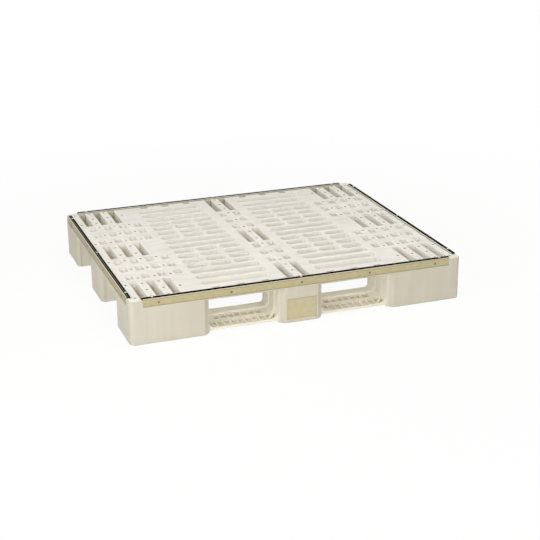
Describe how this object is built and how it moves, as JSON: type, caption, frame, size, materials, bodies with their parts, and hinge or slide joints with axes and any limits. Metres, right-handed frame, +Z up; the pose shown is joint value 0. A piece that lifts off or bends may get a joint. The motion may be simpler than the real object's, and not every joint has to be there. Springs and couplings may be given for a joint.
{
  "type": "plastic pallet",
  "caption": "Four-way plastic pallet with a slotted one-piece deck, hollow feet joined by ribbed runners, steel edge angles and raised rubber anti-slip rails.",
  "frame": {"origin": "centre of the base, on the floor", "axes": "+X along the long side, +Y from the front long side to the rear, +Z up"},
  "size_m": [1.2, 1, 0.1615],
  "materials": {
    "cream_plastic": "moulded polyolefin, satin, warm cream",
    "khaki_steel": "sheet metal with a satin khaki finish",
    "black_rubber": "extruded rubber, smooth black",
    "bright_steel": "bright plated screw"
  },
  "bodies": {
    "root": {"pallet_body": "cream_plastic", "front_label_plate": "khaki_steel", "front_edge_angle": "khaki_steel", "rear_edge_angle": "khaki_steel", "left_edge_angle": "khaki_steel", "right_edge_angle": "khaki_steel", "front_rubber_rail": "black_rubber", "rear_rubber_rail": "black_rubber", "left_rubber_rail": "black_rubber", "right_rubber_rail": "black_rubber", "front_side_screw_1": "bright_steel", "front_side_screw_2": "bright_steel", "front_side_screw_3": "bright_steel", "front_side_screw_4": "bright_steel", "front_side_screw_5": "bright_steel", "rear_side_screw_1": "bright_steel", "rear_side_screw_2": "bright_steel", "rear_side_screw_3": "bright_steel", "rear_side_screw_4": "bright_steel", "rear_side_screw_5": "bright_steel", "left_side_screw_1": "bright_steel", "left_side_screw_2": "bright_steel", "left_side_screw_3": "bright_steel", "left_side_screw_4": "bright_steel", "right_side_screw_1": "bright_steel", "right_side_screw_2": "bright_steel", "right_side_screw_3": "bright_steel", "right_side_screw_4": "bright_steel", "front_rail_screw_1": "bright_steel", "front_rail_screw_2": "bright_steel", "front_rail_screw_3": "bright_steel", "rear_rail_screw_1": "bright_steel", "rear_rail_screw_2": "bright_steel", "rear_rail_screw_3": "bright_steel", "left_rail_screw_1": "bright_steel", "left_rail_screw_2": "bright_steel", "left_rail_screw_3": "bright_steel", "right_rail_screw_1": "bright_steel", "right_rail_screw_2": "bright_steel", "right_rail_screw_3": "bright_steel"}
  },
  "joints": []
}
